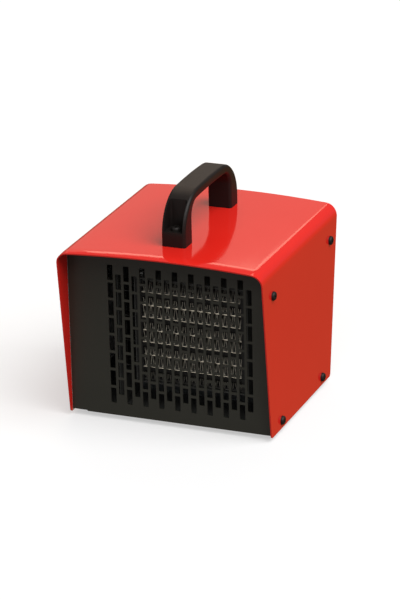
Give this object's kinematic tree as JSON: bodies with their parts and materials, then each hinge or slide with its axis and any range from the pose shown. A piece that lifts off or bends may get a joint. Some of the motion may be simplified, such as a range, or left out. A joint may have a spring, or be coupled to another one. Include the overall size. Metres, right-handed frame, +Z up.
{
  "type": "ceramic fan heater",
  "caption": "Portable ceramic fan heater: a folded steel case with a slotted black grille, a bow handle on top, ceramic heating block, fan and motor inside, and two rotary controls at the back.",
  "frame": {"origin": "on the floor under the middle of the case, level with the undersides of the feet", "axes": "+Z up, warm air leaves towards -Y, +X on the right of someone who faces the grille"},
  "size_m": [0.206, 0.203, 0.2209],
  "materials": {
    "red_paint": "gloss enamel over folded steel sheet",
    "black_sheet": "semi-matt black powder coat on steel sheet",
    "black_plastic": "moulded black plastic with a soft sheen",
    "black_screw": "blackened steel",
    "zinc_steel": "zinc plated",
    "rubber": "moulded black rubber",
    "fin_aluminium": "rolled sheet, corrugated and bonded",
    "electrode_aluminium": "bright rolled strip",
    "ptc_ceramic": "dark fired ceramic",
    "frame_plastic": "black heat-proof moulding",
    "galvanised_sheet": "galvanised steel sheet",
    "fan_plastic": "moulded dark plastic",
    "shaft_steel": "ground steel",
    "lamination": "stamped and stacked steel",
    "coil_tape": "taped winding",
    "die_cast": "die-cast",
    "bronze": "sintered bronze",
    "wire_sleeve": "heat-proof sleeve"
  },
  "bodies": {
    "case": {"air_duct": "black_sheet", "base_plate": "black_sheet", "base_screws": "zinc_steel", "bridge_lead": "wire_sleeve", "chassis_screws": "zinc_steel", "control_nuts": "zinc_steel", "cord_gland": "black_plastic", "cover": "red_paint", "cover_screws": "black_screw", "divider": "galvanised_sheet", "fan_bulkhead": "galvanised_sheet", "fin_separators": "fin_aluminium", "foot_screws": "zinc_steel", "front_grille": "black_sheet", "gland_nut": "black_plastic", "handle": "black_plastic", "handle_nuts": "zinc_steel", "handle_screws": "black_screw", "handle_washers": "zinc_steel", "heater_bus_bars": "bronze", "heater_frame_left": "frame_plastic", "heater_frame_right": "frame_plastic", "heater_leads": "wire_sleeve", "mode_switch": "frame_plastic", "motor_bar": "galvanised_sheet", "motor_bolts": "zinc_steel", "motor_bracket_front": "die_cast", "motor_bracket_rear": "die_cast", "motor_bushes": "bronze", "motor_coil": "coil_tape", "motor_lead": "wire_sleeve", "motor_stator": "lamination", "ptc_electrodes_1": "electrode_aluminium", "ptc_electrodes_2": "electrode_aluminium", "ptc_electrodes_3": "electrode_aluminium", "ptc_electrodes_4": "electrode_aluminium", "ptc_fins_1": "fin_aluminium", "ptc_fins_2": "fin_aluminium", "ptc_fins_3": "fin_aluminium", "ptc_fins_4": "fin_aluminium", "ptc_stones_1": "ptc_ceramic", "ptc_stones_2": "ptc_ceramic", "ptc_stones_3": "ptc_ceramic", "ptc_stones_4": "ptc_ceramic", "rear_panel": "black_sheet", "rubber_foot_front_left": "rubber", "rubber_foot_front_right": "rubber", "rubber_foot_rear_left": "rubber", "rubber_foot_rear_right": "rubber", "supply_lead": "wire_sleeve", "terminal_block": "frame_plastic", "thermal_cutout": "frame_plastic", "thermostat": "frame_plastic"},
    "fan_rotor": {"fan_impeller": "fan_plastic", "motor_shaft": "shaft_steel", "rotor_core": "lamination"},
    "mode_dial": {"mode_knob": "black_plastic", "mode_spindle": "shaft_steel"},
    "thermostat_dial": {"thermostat_knob": "black_plastic", "thermostat_spindle": "shaft_steel"}
  },
  "joints": [
    {"name": "fan_spin", "type": "hinge", "parent": "case", "child": "fan_rotor", "pos_m": [0.0175, 0, 0.0885], "axis": [0, -1, 0], "continuous": true},
    {"name": "mode_knob_turn", "type": "hinge", "parent": "case", "child": "mode_dial", "pos_m": [-0.0774, 0.083, 0.128], "axis": [0, -1, 0], "range_deg": [0, 135]},
    {"name": "thermostat_knob_turn", "type": "hinge", "parent": "case", "child": "thermostat_dial", "pos_m": [-0.0774, 0.083, 0.086], "axis": [0, -1, 0], "range_deg": [0, 270]}
  ]
}
